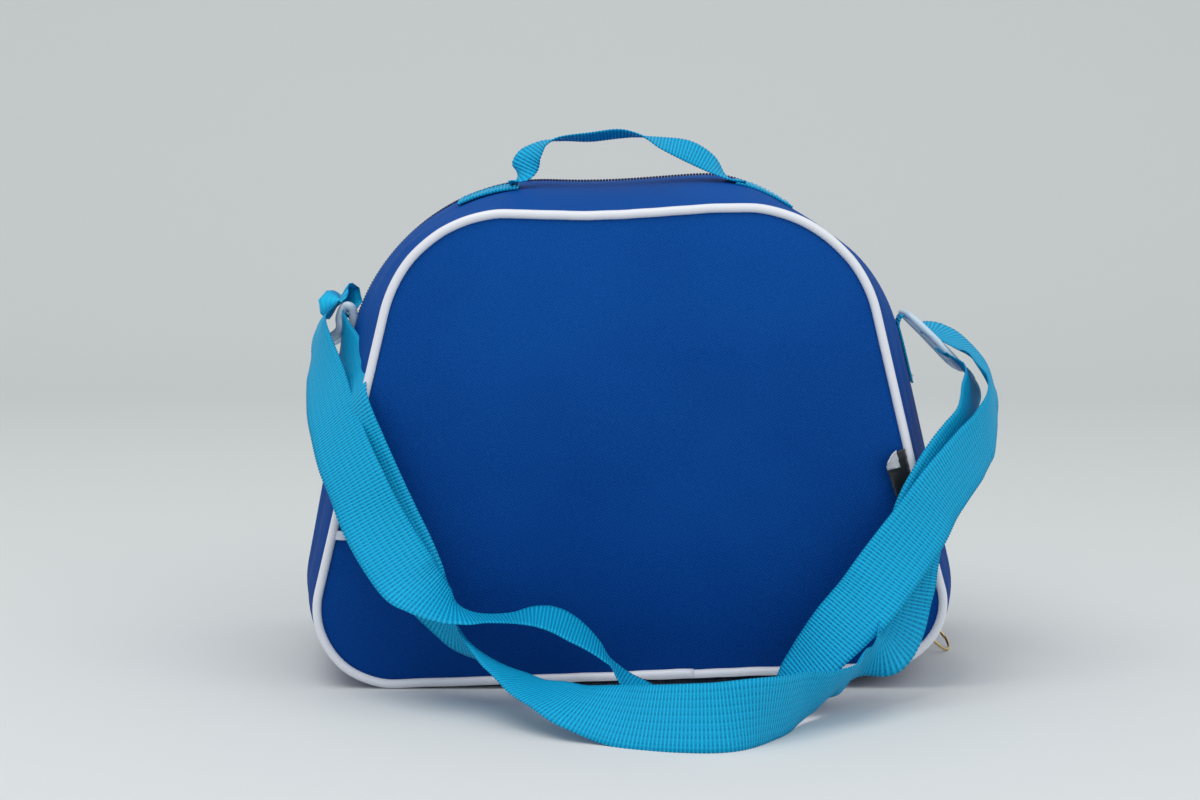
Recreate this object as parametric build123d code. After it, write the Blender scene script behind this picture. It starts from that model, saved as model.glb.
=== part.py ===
"""Soft bowling ball bag: a zipped fabric case for one ball, with a carry handle and a shoulder strap.

Frame: millimetres, origin on the floor under the middle of the bag, +X to the bag's right seen from
its plain back, +Y from that back to the front, +Z up. The back panel faces -Y.
"""

import os
from dataclasses import dataclass, replace
from math import asin, atan2, cos, degrees, radians, sin, sqrt, tan

from build123d import *

# ---------------------------------------------------------------- driving dimensions
# the ball that the bag carries
BALL_D = 216.0

# depth of the bag between its two piped seams
SEAM_DEPTH = 224.0

# outline of each seam: sharp-cornered half widths, heights and the radii of its rounded corners
SEAM_FOOT_HALF = 201.2
SEAM_CROWN_HALF = 131.9
SEAM_TOP = 286.0
SEAM_LOW_R = 45.0
SEAM_HIGH_R = 77.0

# outline of the gusset halfway between the seams, where it bulges most
MID_FOOT_HALF = 218.0
MID_CROWN_HALF = 157.5
MID_TOP = 306.5
MID_LOW_R = 58.0
MID_HIGH_R = 132.0

# fabrics and trims
WALL = 2.2
LINING = 0.8
LINING_GAP = 0.2
PIPING_R = 2.7
PIPING_RISE = 3.0
SEAM_GAP = 0.2
SOLE_TRIM = 0.1
PANEL_CROWN = 9.5

# zip
ZIP_END_Z = 12.0
ZIP_SLOT_HALF = 5.3
TAPE_WIDTH = 16.0
TAPE = 0.8
COIL_HEIGHT = 2.0
COIL_WIDTH = 2.6
COIL_HALF_GAP = 0.8
STOP_LENGTH = 2.0

# zip slider and its ring
SLIDER_LENGTH = 11.0
SLIDER_HALF_WIDTH = 5.0
SLIDER_PLATE = 1.0
SLIDER_GAP = 0.5
SLIDER_ANGLE = 40.4
BRIDGE_LENGTH = 9.4
BRIDGE_WIDTH = 2.4
BRIDGE_WALL = 1.3
RING_D = 25.0
RING_WIRE = 1.0
RING_CLEARANCE = 0.25

# carry handle
HANDLE_WIDTH = 20.0
HANDLE_THICK = 2.0
HANDLE_Y = -50.0
HANDLE_END_X = 101.0
HANDLE_LIFT_X = 68.0
HANDLE_RISE = 33.5

# side tabs and plastic fittings
TAB_WIDTH = 25.0
TAB_THICK = 2.5
TAB_Y = -20.0
TAB_LOW_Z = 178.0
TAB_TOP_Z = 216.0
TAB_LOOP_Z = 221.0
TAB_LOOP_WALL = 1.6
FITTING_BAR_D = 5.0
FITTING_THICK = 4.0
FITTING_REACH = (30.0, -34.0)
FITTING_EYE_WIDTH = 35.0
FITTING_SLOT_WIDTH = 50.0
FITTING_RAIL = 5.0
RUN_CLEARANCE = 0.3

# shoulder strap
STRAP_WIDTH = 38.0
STRAP_THICK = 1.6

# labels
CARE_LABEL = (18.0, 0.6, 30.0)
CARE_LABEL_Z = 132.0
SEAM_TAG = (8.0, 0.6, 5.0)
SEAM_TAG_Z = 95.0

# inside
BOARD_THICK = 3.0
BOARD_LENGTH = 280.0
BOARD_DEPTH = 196.0
BOARD_CORNER_R = 25.0
BALL_RING_D = 150.0
BALL_RING_HOLE_D = 72.0
BALL_RING_HEIGHT = 22.0
BALL_OVER_BOARD = 10.0

# ---------------------------------------------------------------- worked out from them
SEAM_Y = SEAM_DEPTH / 2
GUSSET_Y = SEAM_Y - PIPING_R - SEAM_GAP
TRIM_INSET = PIPING_R + SEAM_GAP
FAR = 600.0


@dataclass
class Outline:
    """A symmetric trapezoid with rounded corners, in the XZ plane."""

    foot: float
    crown: float
    low: float
    top: float
    low_r: float
    high_r: float

    @property
    def lean(self):
        """Angle by which the sides lean inwards, in radians."""
        return atan2(self.foot - self.crown, self.top - self.low)

    def inset(self, by):
        """The same outline moved inwards all round."""
        slope = tan(self.lean)
        shift = by / cos(self.lean)
        return Outline(
            foot=self.foot - shift - by * slope,
            crown=self.crown - shift + by * slope,
            low=self.low + by,
            top=self.top - by,
            low_r=self.low_r - by,
            high_r=self.high_r - by,
        )

    def scaled(self, factor):
        """The same outline shrunk towards its middle."""
        middle = (self.low + self.top) / 2
        return Outline(
            foot=self.foot * factor,
            crown=self.crown * factor,
            low=middle + (self.low - middle) * factor,
            top=middle + (self.top - middle) * factor,
            low_r=self.low_r * factor,
            high_r=self.high_r * factor,
        )

    def wire(self, y):
        """The closed outline in the plane at this depth."""
        corners = [
            (-self.foot, self.low),
            (self.foot, self.low),
            (self.crown, self.top),
            (-self.crown, self.top),
        ]
        radii = [self.low_r, self.low_r, self.high_r, self.high_r]
        line = FilletPolyline(*corners, radius=radii, close=True)
        return Plane((0, y, 0), x_dir=(1, 0, 0), z_dir=(0, -1, 0)) * line

    def face(self, y):
        return make_face(self.wire(y).edges())

    def low_corner(self):
        """Centre, in X and Z, of the rounded lower corner on the right."""
        half_angle = (radians(90) - self.lean) / 2
        return self.foot - self.low_r / tan(half_angle), self.low + self.low_r

    def side_x(self, z):
        """Half width of the straight side at this height."""
        return self.foot - (z - self.low) * tan(self.lean)

    def top_z(self, x):
        """Height of the top at this distance from the middle, also over its rounded corners."""
        flat = self.crown - self.high_r / tan((radians(90) + self.lean) / 2)
        beyond = max(0.0, x - flat)
        return self.top - self.high_r + sqrt(self.high_r**2 - beyond**2)


SEAM = Outline(SEAM_FOOT_HALF, SEAM_CROWN_HALF, -SOLE_TRIM, SEAM_TOP, SEAM_LOW_R, SEAM_HIGH_R)
MID = Outline(MID_FOOT_HALF, MID_CROWN_HALF, -SOLE_TRIM, MID_TOP, MID_LOW_R, MID_HIGH_R)
PIPED = replace(SEAM, foot=SEAM.side_x(PIPING_RISE), low=PIPING_RISE)


def between(low, high):
    """A box from one corner to the other."""
    size = [b - a for a, b in zip(low, high)]
    middle = [(a + b) / 2 for a, b in zip(low, high)]
    return Pos(*middle) * Box(*size)


def case(inset):
    """The bag's body as a solid block, bulging between its seams, moved inwards by inset."""
    seam, mid = SEAM.inset(inset), MID.inset(inset)
    return loft([seam.face(-SEAM_Y), mid.face(0), seam.face(SEAM_Y)])


def skin(outer, inner):
    """The layer of the gusset between two insets."""
    return case(outer) - case(inner)


def mirrored(part):
    """The same piece on the front half."""
    return mirror(part, about=Plane.XZ)


def gusset_y(y, z_mid, z_seam):
    """Height or width of the bulging gusset at depth y, from its values at the middle and the seam."""
    return z_seam + (z_mid - z_seam) * (1 - (y / SEAM_Y) ** 2)


# ---------------------------------------------------------------- shell
def panel():
    """Crowned back panel: a shallow pillow, one wall thick."""
    edge = PIPED.inset(TRIM_INSET)
    profile = [(1.0, 0.0), (0.88, 0.45), (0.62, 0.86), (0.28, 1.0)]
    rim_y = -SEAM_Y
    rim = extrude(edge.face(rim_y + 2 * WALL), amount=2 * WALL)
    pillow = loft([edge.scaled(f).face(rim_y - PANEL_CROWN * h) for f, h in profile])
    block = rim + pillow
    return block - Pos(0, WALL, 0) * block


def piping():
    """Round cord in its cover, all the way round a seam."""
    path = PIPED.wire(-SEAM_Y)
    start = Plane(origin=path @ 0, z_dir=path % 0)
    return sweep(start * Circle(PIPING_R), path=path)


def strip_half(layer, near_y, far_y):
    """The back half of a gusset layer, above the zip's ends."""
    return layer & between((-FAR, -far_y, ZIP_END_Z), (FAR, -near_y, FAR))


def base_part(layer, half_depth):
    """The part of a gusset layer under the zip's ends, with the rounded lower corners."""
    return layer & between((-FAR, -half_depth, -FAR), (FAR, half_depth, ZIP_END_Z - RUN_CLEARANCE))


# ---------------------------------------------------------------- zip
def coil():
    """Back row of the zip, standing on its tape."""
    start_angle = SLIDER_ANGLE - degrees((SLIDER_LENGTH / 2 + 1.5) / MID_LOW_R)
    _, corner_z = MID.low_corner()
    start_z = corner_z - MID_LOW_R * sin(radians(start_angle))
    row = skin(WALL - COIL_HEIGHT, WALL)
    low_y, high_y = -COIL_HALF_GAP - COIL_WIDTH, -COIL_HALF_GAP
    return row & between((-FAR, low_y, start_z), (FAR, high_y, FAR))


def end_stops():
    """A stop across the zip at each end."""
    row = skin(WALL - COIL_HEIGHT, WALL)
    half = COIL_HALF_GAP + COIL_WIDTH
    low_z = ZIP_END_Z + 0.2
    return row & between((-FAR, -half, low_z), (FAR, half, low_z + STOP_LENGTH))


def slider_plane():
    """Where the slider sits: on the rounded lower corner, X outwards and Y up along the zip."""
    corner_x, corner_z = MID.low_corner()
    angle = radians(SLIDER_ANGLE)
    outwards = Vector(cos(angle), 0, -sin(angle))
    seat = Vector(corner_x, 0, corner_z) + outwards * MID_LOW_R
    return Plane(origin=seat, x_dir=outwards, z_dir=(0, 1, 0))


def bridge_height():
    """Height of the ring's wire over the slider's seat."""
    return SLIDER_GAP + SLIDER_PLATE + RING_WIRE + RING_CLEARANCE


def slider():
    """Two plates joined by a post, side flanges round the coil, and the bridge that holds the ring."""
    top = SLIDER_GAP
    bottom = -(WALL + TAPE + SLIDER_GAP + 0.4)
    half_l, half_w = SLIDER_LENGTH / 2, SLIDER_HALF_WIDTH
    flange_low = -(WALL - COIL_HEIGHT / 2)
    plates = between((top, -half_l, -half_w), (top + SLIDER_PLATE, half_l, half_w))
    plates += between((bottom - SLIDER_PLATE, -half_l, -half_w), (bottom, half_l, half_w))
    plates = fillet(plates.edges().filter_by(Axis.X), 1.8)
    post_half = COIL_HALF_GAP - RUN_CLEARANCE
    post = between((bottom, half_l - 3.5, -post_half), (top, half_l - 0.5, post_half))
    body = plates + post
    for side in (-1, 1):
        wall = sorted((side * half_w, side * (half_w - 0.9)))
        body += between((flange_low, -half_l + 2, wall[0]), (top + 0.2, half_l - 2, wall[1]))
    window_top = top + SLIDER_PLATE + 2 * (RING_WIRE + RING_CLEARANCE)
    arch = between(
        (top, -BRIDGE_LENGTH / 2, -BRIDGE_WIDTH / 2),
        (window_top + BRIDGE_WALL, BRIDGE_LENGTH / 2, BRIDGE_WIDTH / 2),
    )
    arch = fillet(arch.edges().filter_by(Axis.Z).group_by(Axis.X)[-1], 2.2)
    leg_y = BRIDGE_LENGTH / 2 - BRIDGE_WALL
    arch -= between((top + SLIDER_PLATE, -leg_y, -FAR), (window_top, leg_y, FAR))
    return slider_plane() * (body + arch)


def ring_place():
    """Wire point inside the bridge, and the angle below level at which the ring reaches the floor."""
    hold = slider_plane().from_local_coords((bridge_height(), 0, 0))
    mean_d = RING_D - RING_WIRE
    tilt = asin((hold.Z - RING_WIRE - 0.1) / mean_d)
    return hold, tilt


def split_ring():
    """Split ring of two turns of wire, hanging from the bridge with its far side on the floor."""
    hold, tilt = ring_place()
    outwards = Vector(cos(tilt), 0, -sin(tilt))
    mean_r = (RING_D - RING_WIRE) / 2
    wire = Circle(RING_WIRE / 2 + 0.02)
    turns = Pos(mean_r, RING_WIRE / 2) * wire + Pos(mean_r, -RING_WIRE / 2) * wire
    ring = revolve(Plane.XZ * turns, axis=Axis.Z)
    place = Plane(origin=hold + outwards * mean_r, x_dir=outwards, z_dir=outwards.cross(Vector(0, 1, 0)))
    return place * ring


# ---------------------------------------------------------------- handle
def handle_end(side):
    """Sewn end of the handle, lying on the gusset beside the zip."""
    layer = skin(-HANDLE_THICK, 0)
    inner, outer = sorted((side * (HANDLE_LIFT_X - 2), side * HANDLE_END_X))
    y = HANDLE_Y
    half = HANDLE_WIDTH / 2
    return layer & between((inner, y - half, SEAM_TOP - 30), (outer, y + half, FAR))


def handle_seat_z():
    """Height of the gusset where the handle lifts off it."""
    return gusset_y(HANDLE_Y, MID.top_z(HANDLE_LIFT_X), SEAM.top_z(HANDLE_LIFT_X))


def handle_axis_z():
    """Height of the line about which the handle tips over."""
    return handle_seat_z() + HANDLE_THICK + HANDLE_WIDTH / 2 + 0.6


def handle_loop():
    """Free loop of the handle, with rounded tongues where it twists at its sewn ends."""
    crest = handle_seat_z()
    lift, rise = HANDLE_LIFT_X, HANDLE_RISE
    route = [
        (-lift, crest),
        (-lift + 7, crest + 0.62 * rise),
        (-lift + 24, crest + 0.94 * rise),
        (-11, crest + rise),
        (lift - 26, crest + 0.7 * rise),
        (lift, crest),
    ]
    line = FilletPolyline(*route, radius=[12, 14, 60, 60])
    band = extrude(make_face(offset(line, HANDLE_THICK / 2, side=Side.BOTH)), HANDLE_WIDTH / 2, both=True)
    band = Plane((0, HANDLE_Y, 0), x_dir=(1, 0, 0), z_dir=(0, -1, 0)) * band
    axis_z = handle_axis_z()
    keep = between((-FAR, -FAR, axis_z), (FAR, FAR, FAR))
    keep += Pos(0, HANDLE_Y, axis_z) * Rot(0, 90, 0) * Cylinder(HANDLE_WIDTH / 2, FAR)
    return band & keep


# ---------------------------------------------------------------- tabs, fittings and strap
def tab_loop_x():
    """Distance of the fittings' bars from the middle of the bag."""
    loop_r = FITTING_BAR_D / 2 + RUN_CLEARANCE + TAB_LOOP_WALL
    swing_r = TAB_WIDTH / 2 + 1.0
    side = gusset_y(TAB_Y, MID.side_x(TAB_LOOP_Z - swing_r), SEAM.side_x(TAB_LOOP_Z - swing_r))
    return side + TAB_THICK + RUN_CLEARANCE + loop_r


def side_tab(side):
    """Sewn part of a tab: webbing on the side of the gusset, upright where it leaves it."""
    low, high = TAB_Y - TAB_WIDTH / 2, TAB_Y + TAB_WIDTH / 2
    flat = skin(-TAB_THICK, 0) & between((0, low, TAB_LOW_Z), (FAR, high, TAB_TOP_Z))
    loop_r = FITTING_BAR_D / 2 + RUN_CLEARANCE + TAB_LOOP_WALL
    outer_x = tab_loop_x() - loop_r - RUN_CLEARANCE
    upright = between((SEAM.side_x(TAB_TOP_Z), low, TAB_TOP_Z - 8), (outer_x, high, TAB_TOP_Z)) - case(0)
    tab = flat + upright
    return tab if side > 0 else mirror(tab, about=Plane.YZ)


def tab_loop(side):
    """Free fold of a tab, round the fitting's bar."""
    hole_r = FITTING_BAR_D / 2 + RUN_CLEARANCE
    fold = Circle(hole_r + TAB_LOOP_WALL) - Circle(hole_r)
    place = Plane((side * tab_loop_x(), TAB_Y, TAB_LOOP_Z), x_dir=(1, 0, 0), z_dir=(0, -1, 0))
    return place * extrude(fold, TAB_WIDTH / 2, both=True)


def fitting(side):
    """Moulded loop: a round bar in the tab, a narrow eye and a wide slot for the strap."""
    length = Vector(*FITTING_REACH).length
    rail = FITTING_RAIL
    eye_l = 0.4 * length
    eye = Pos(eye_l / 2, 0) * Rectangle(eye_l, FITTING_EYE_WIDTH)
    slot = Pos((eye_l + length) / 2, 0) * Rectangle(length - eye_l, FITTING_SLOT_WIDTH)
    plate = eye + slot
    plate = fillet(plate.vertices().group_by(Axis.X)[-1], 5)
    eye_window = eye_l - rail / 2
    plate -= Pos(eye_window / 2, 0) * Rectangle(eye_window, TAB_WIDTH + 2)
    slot_window = length - eye_l - 2 * rail + 2
    plate -= Pos(eye_l + rail / 2 + slot_window / 2, 0) * Rectangle(slot_window, STRAP_WIDTH + 2)
    plate = extrude(plate, FITTING_THICK / 2, both=True)
    bar = Rot(90, 0, 0) * Cylinder(FITTING_BAR_D / 2, FITTING_EYE_WIDTH)
    reach = Vector(side * FITTING_REACH[0], 0, FITTING_REACH[1]).normalized()
    place = Plane((side * tab_loop_x(), TAB_Y, TAB_LOOP_Z), x_dir=reach, z_dir=reach.cross(Vector(0, 1, 0)))
    return place * (bar + plate)


def band(stations, width, thick):
    """A webbing band through (centre, direction across its width) stations, in straight lays."""
    centres = [Vector(*centre) for centre, across in stations]
    sections = []
    for i, centre in enumerate(centres):
        along = centres[min(i + 1, len(centres) - 1)] - centres[max(i - 1, 0)]
        along = along.normalized()
        across = Vector(*stations[i][1])
        across = (across - along * across.dot(along)).normalized()
        sections.append(Plane(centre, x_dir=across, z_dir=along) * Rectangle(width, thick))
    lays = [loft([a, b], ruled=True) for a, b in zip(sections, sections[1:])]
    return Part() + lays


# The strap hangs from both fittings, comes forward round the bag's corners and lies on the floor in
# front of it. Each station is a point on the band's middle line and the direction of its lower or
# right edge from there.
FRONT_LAYER = [
    ((-210, -45.6, 190), (0.25, -0.25, 0.93)),
    ((-204, -72, 181), (0.5, -0.2, 0.85)),
    ((-194, -104, 167), (0.7, 0, 0.7)),
    ((-177, -134, 146), (0.9, 0, 0.4)),
    ((-163, -146, 126), (0.95, -0.2, 0.25)),
    ((-150, -152, 105), (0.9, -0.15, 0.4)),
    ((-137, -155, 86), (0.85, -0.15, 0.5)),
    ((-121, -163, 73), (0.7, -0.35, 0.6)),
    ((-102, -172, 68), (0.4, -0.6, 0.65)),
    ((-78, -170, 59), (0, -1, 0.1)),
    ((-52, -163, 55), (0, -1, -0.1)),
    ((-34, -159, 45), (0.1, -0.97, -0.2)),
    ((-16, -156, 31), (0.1, -0.99, -0.1)),
    ((2, -155, 14), (0.1, -1, 0)),
    ((20, -157, 4), (0, -1, 0)),
    ((42, -158, 1.5), (0, -1, 0)),
    ((66, -158, 3), (0, -1, 0)),
    ((84, -158, 12), (0.2, -0.95, -0.1)),
    ((99, -160, 27), (0.5, -0.8, -0.3)),
    ((112, -163, 42), (0.75, -0.4, -0.5)),
    ((127, -164, 58), (0.82, -0.05, -0.57)),
    ((144, -160, 76), (0.82, 0.05, -0.57)),
    ((162, -152, 95), (0.8, 0.15, -0.57)),
    ((181, -142, 117), (0.8, 0.2, -0.55)),
    ((202, -122, 139), (0.7, 0.3, -0.65)),
    ((214, -94, 157), (0.5, 0.2, -0.85)),
    ((218, -68, 171), (0.2, 0.2, -0.95)),
    ((211, -45.6, 184), (0, 0.3, -0.95)),
]
REAR_LAYER = [
    ((-202, -45.6, 178), (0.25, -0.15, 0.95)),
    ((-197, -72, 171), (0.45, -0.15, 0.87)),
    ((-187, -104, 162), (0.65, 0, 0.75)),
    ((-170, -129, 146), (0.9, 0, 0.4)),
    ((-153, -137, 126), (0.95, -0.2, 0.25)),
    ((-138, -141, 103), (0.9, -0.2, 0.35)),
    ((-124, -144, 79), (0.85, -0.25, 0.5)),
    ((-110, -144, 53), (0.8, -0.25, 0.5)),
    ((-97, -146, 38), (0.5, -0.7, 0.45)),
    ((-83, -149, 29), (0.1, -1, -0.1)),
    ((-67, -150, 21.5), (-0.1, -0.7, -0.7)),
    ((-49, -163, 19.5), (0, 0.05, -1)),
    ((-32, -198, 19), (0, 0.17, -0.98)),
    ((-12, -231, 19), (0, 0.17, -0.98)),
    ((16, -250, 19), (0, 0.17, -0.98)),
    ((44, -255, 19), (0, 0.17, -0.98)),
    ((66, -246, 19), (0, 0.17, -0.98)),
    ((84, -226, 19), (-0.1, 0.25, -0.95)),
    ((97, -206, 17), (-0.35, 0.4, -0.8)),
    ((110, -190, 13), (-0.55, 0.6, -0.55)),
    ((122, -176, 12.5), (-0.65, 0.7, -0.3)),
    ((135, -163, 18), (-0.7, 0.68, 0)),
    ((146, -154, 31), (-0.8, 0.5, 0.35)),
    ((156, -148, 48), (-0.84, 0.2, 0.5)),
    ((165, -143, 69), (-0.82, -0.05, 0.55)),
    ((174, -139, 94), (-0.8, -0.15, 0.55)),
    ((182, -131, 115), (-0.8, -0.3, 0.5)),
    ((196, -119, 134), (-0.7, -0.3, 0.65)),
    ((204, -90, 150), (-0.5, -0.2, 0.85)),
    ((207, -66, 162), (-0.2, -0.2, 0.95)),
    ((203, -45.6, 172), (0, -0.3, 0.95)),
]


# ---------------------------------------------------------------- labels
def care_label():
    """Blank satin label that comes out of the right seam over its piping."""
    side = PIPED.side_x(CARE_LABEL_Z)
    width = CARE_LABEL[0]
    start = Vector(side - 6, -SEAM_Y - PIPING_R - 1.6, CARE_LABEL_Z)
    heading = Vector(cos(radians(20)), -sin(radians(20)), 0)
    place = Plane(start + heading * width / 2, x_dir=heading, z_dir=(0, 0, 1))
    return place * Box(*CARE_LABEL)


def seam_tag():
    """Small blank tag on the gusset's side of the left seam."""
    width = SEAM_TAG[0]
    y = -GUSSET_Y + 1 + width / 2
    layer = skin(-SEAM_TAG[1], 0)
    low = (-FAR, y - width / 2, SEAM_TAG_Z - SEAM_TAG[2] / 2)
    high = (0, y + width / 2, SEAM_TAG_Z + SEAM_TAG[2] / 2)
    return layer & between(low, high)


# ---------------------------------------------------------------- inside
def back_lining():
    """Lining of the back half: a sheet behind the panel and a strip inside the gusset."""
    outer = WALL + TAPE + 2 * LINING_GAP
    strip = strip_half(skin(outer, outer + LINING), TAPE_WIDTH + 1, GUSSET_Y - LINING - SEAM_GAP)
    sheet = extrude(PIPED.inset(LINING + LINING_GAP + 0.5).face(-GUSSET_Y + LINING), amount=LINING)
    return strip + sheet


def base_lining():
    """Lining of the base and the lower corners."""
    outer = WALL + TAPE + 2 * LINING_GAP
    return base_part(skin(outer, outer + LINING), GUSSET_Y - LINING - SEAM_GAP)


def floor_z():
    """Height of the lining's floor."""
    return WALL + TAPE + 2 * LINING_GAP + LINING


def base_board():
    """Stiffener that lies loose in the base."""
    board = RectangleRounded(BOARD_LENGTH, BOARD_DEPTH, BOARD_CORNER_R)
    return Pos(0, 0, floor_z()) * extrude(board, BOARD_THICK)


def ball_ring():
    """Foam ring on the board, dished to the ball."""
    base_z = floor_z() + BOARD_THICK
    ring = Circle(BALL_RING_D / 2) - Circle(BALL_RING_HOLE_D / 2)
    ring = Pos(0, 0, base_z) * extrude(ring, BALL_RING_HEIGHT)
    ball = Pos(0, 0, base_z + BALL_OVER_BOARD + BALL_D / 2) * Sphere(BALL_D / 2)
    return ring - ball


# ---------------------------------------------------------------- the whole bag
def build():
    shell = skin(0, WALL)
    tape = skin(WALL + LINING_GAP / 2, WALL + LINING_GAP / 2 + TAPE)
    back_strip = strip_half(shell, ZIP_SLOT_HALF, GUSSET_Y)
    back_tape = strip_half(tape, COIL_HALF_GAP, TAPE_WIDTH)
    back = {
        "panel": panel(),
        "piping": piping(),
        "strip": back_strip,
        "zip_tape": back_tape,
        "zip_coil": coil(),
        "lining": back_lining(),
    }
    nodes = {
        "base_strip": base_part(shell, GUSSET_Y) & between((-FAR, -FAR, 0), (FAR, FAR, FAR)),
        "base_lining": base_lining(),
        "base_board": base_board(),
        "ball_ring": ball_ring(),
        "zip_end_stops": end_stops(),
        "zip_slider": slider(),
        "split_ring": split_ring(),
        "handle_loop": handle_loop(),
        "strap_front_layer": band(FRONT_LAYER, STRAP_WIDTH, STRAP_THICK),
        "strap_rear_layer": band(REAR_LAYER, STRAP_WIDTH, STRAP_THICK),
        "care_label": care_label(),
        "seam_tag": seam_tag(),
    }
    for name, piece in back.items():
        nodes[f"back_{name}"] = piece
        nodes[f"front_{name}"] = mirrored(piece)
    for side, word in ((-1, "left"), (1, "right")):
        nodes[f"handle_end_{word}"] = handle_end(side)
        nodes[f"side_tab_{word}"] = side_tab(side)
        nodes[f"tab_loop_{word}"] = tab_loop(side)
        nodes[f"strap_fitting_{word}"] = fitting(side)
    return nodes


os.makedirs("parts", exist_ok=True)
for node_name, solid in build().items():
    export_step(solid, f"parts/{node_name}.step")
print("handle axis z", round(handle_axis_z(), 2))
print("tab loop x", round(tab_loop_x(), 2))
print("ring point", ring_place())
print("low corner", MID.low_corner())
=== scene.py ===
# %% [markdown]
# # A soft bowling ball bag
# The bag is a zipped fabric case with a piped seam round each panel, a webbing handle on its crest
# and a shoulder strap that hangs in front of it, down to the floor. The imported CAD model is the frame, and
# every soft piece but the front gusset, the front lining and the handle is a mesh that rides on one of its
# bodies.
# Everything is in metres, with the floor at z = 0 and the plain back panel facing -Y.

# %% Load the frame
import math

import bpy
from mathutils import Euler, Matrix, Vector, noise


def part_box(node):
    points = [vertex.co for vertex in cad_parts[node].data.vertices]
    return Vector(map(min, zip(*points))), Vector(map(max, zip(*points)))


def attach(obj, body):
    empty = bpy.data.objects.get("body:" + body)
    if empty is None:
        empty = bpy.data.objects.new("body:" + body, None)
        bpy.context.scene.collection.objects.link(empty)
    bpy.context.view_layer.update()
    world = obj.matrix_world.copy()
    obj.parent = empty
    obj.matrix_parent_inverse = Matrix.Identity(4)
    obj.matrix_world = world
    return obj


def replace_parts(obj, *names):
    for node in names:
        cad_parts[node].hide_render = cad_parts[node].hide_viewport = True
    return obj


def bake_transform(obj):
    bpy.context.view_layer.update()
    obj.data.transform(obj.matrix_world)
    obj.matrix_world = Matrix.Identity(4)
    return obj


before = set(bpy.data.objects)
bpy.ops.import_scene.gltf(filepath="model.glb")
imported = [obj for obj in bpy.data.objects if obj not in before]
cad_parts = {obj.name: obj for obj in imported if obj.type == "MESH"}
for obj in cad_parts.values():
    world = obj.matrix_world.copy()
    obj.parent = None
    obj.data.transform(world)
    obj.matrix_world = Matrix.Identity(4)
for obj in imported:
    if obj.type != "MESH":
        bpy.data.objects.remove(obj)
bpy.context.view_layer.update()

# %% [markdown]
# ## Sizes
# The two outlines below are the bag's own: a trapezoid with rounded corners at each seam, and a
# fuller one halfway between the seams. A seam stands where its piping is, so the piping's box gives
# its depth and its height, and the rest are plain sizes of the bag.

# %% Sizes
MM = 0.001
piping_low, piping_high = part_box("back_piping")
SEAM_Y = -(piping_low[1] + piping_high[1]) / 2
PIPING_R = (piping_high[1] - piping_low[1]) / 2
SEAM_LOW = piping_low[2] + PIPING_R
SEAM_TOP = piping_high[2] - PIPING_R
strip_low, strip_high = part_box("back_strip")
ZIP_END_Z = strip_low[2]
MID_TOP = strip_high[2]
SLOT_HALF = -strip_high[1]
print(f"seam at {SEAM_Y / MM:.1f} mm from the middle, crest at {MID_TOP / MM:.1f} mm")


class Outline:
    """A trapezoid with rounded corners in the XZ plane, walked from the bottom middle to the right."""

    def __init__(self, foot, crown, low, top, low_r, high_r):
        self.corners = [(foot, low), (crown, top), (-crown, top), (-foot, low)]
        self.radii = [low_r, high_r, high_r, low_r]

    def walk(self, arc_steps=(22, 34), side_steps=64, flat_steps=60):
        """Points and outward normals, the same number on every outline."""
        rounds = []
        for i, (x, z) in enumerate(self.corners):
            here = Vector((x, z))
            before = Vector(self.corners[i - 1]) - here
            after = Vector(self.corners[(i + 1) % 4]) - here
            half = before.angle(after) / 2
            reach = self.radii[i] / math.tan(half)
            centre = here + (before.normalized() + after.normalized()).normalized() * (
                self.radii[i] / math.sin(half))
            rounds.append((here + before.normalized() * reach, here + after.normalized() * reach, centre))
        points = []
        steps = [arc_steps[0], arc_steps[1], arc_steps[1], arc_steps[0]]
        straight = [side_steps, flat_steps, side_steps, flat_steps]
        for i, (start, end, centre) in enumerate(rounds):
            a, b = start - centre, end - centre
            turn = a.angle_signed(b)
            for k in range(steps[i]):
                angle = -turn * k / steps[i]
                c, s = math.cos(angle), math.sin(angle)
                out = Vector((a.x * c - a.y * s, a.x * s + a.y * c))
                points.append((centre + out, out.normalized()))
            following = rounds[(i + 1) % 4][0]
            along = following - end
            out = Vector((along.y, -along.x)).normalized()
            points += [(end + along * (k / straight[i]), out) for k in range(straight[i])]
        return points


FOOT_HALF, CROWN_HALF = 201.2 * MM, 131.9 * MM
MID_FOOT_HALF, MID_CROWN_HALF = 218.0 * MM, 157.5 * MM
seam = Outline(FOOT_HALF, CROWN_HALF, 0.4 * MM, SEAM_TOP, 45 * MM, 77 * MM).walk()
piped = Outline(FOOT_HALF - 0.7 * MM, CROWN_HALF, SEAM_LOW, SEAM_TOP, 45 * MM, 77 * MM).walk()
middle = Outline(MID_FOOT_HALF, MID_CROWN_HALF, 0.4 * MM, MID_TOP, 58 * MM, 132 * MM).walk()
AROUND = len(seam)
print("points round each outline:", AROUND)

# %% [markdown]
# ## Materials as sums
# A material's pattern is worked out with a few small sums. `Link` wraps one output socket, so that
# `1 - mask * 0.3` adds the Math nodes by itself. `Finish` holds a material: `add` makes any other node
# from its type, its settings and the values of its sockets.

# %% Shader helpers


class Link:
    """An output socket that can be used in sums."""

    def __init__(self, finish, socket):
        self.finish, self.socket = finish, socket

    def math(self, operation, a, b):
        return self.finish.add("ShaderNodeMath", {"operation": operation}, {0: a, 1: b})

    def __add__(self, other):
        return self.math("ADD", self, other)

    def __sub__(self, other):
        return self.math("SUBTRACT", self, other)

    def __rsub__(self, other):
        return self.math("SUBTRACT", other, self)

    def __mul__(self, other):
        return self.math("MULTIPLY", self, other)

    __radd__ = __add__
    __rmul__ = __mul__


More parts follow.
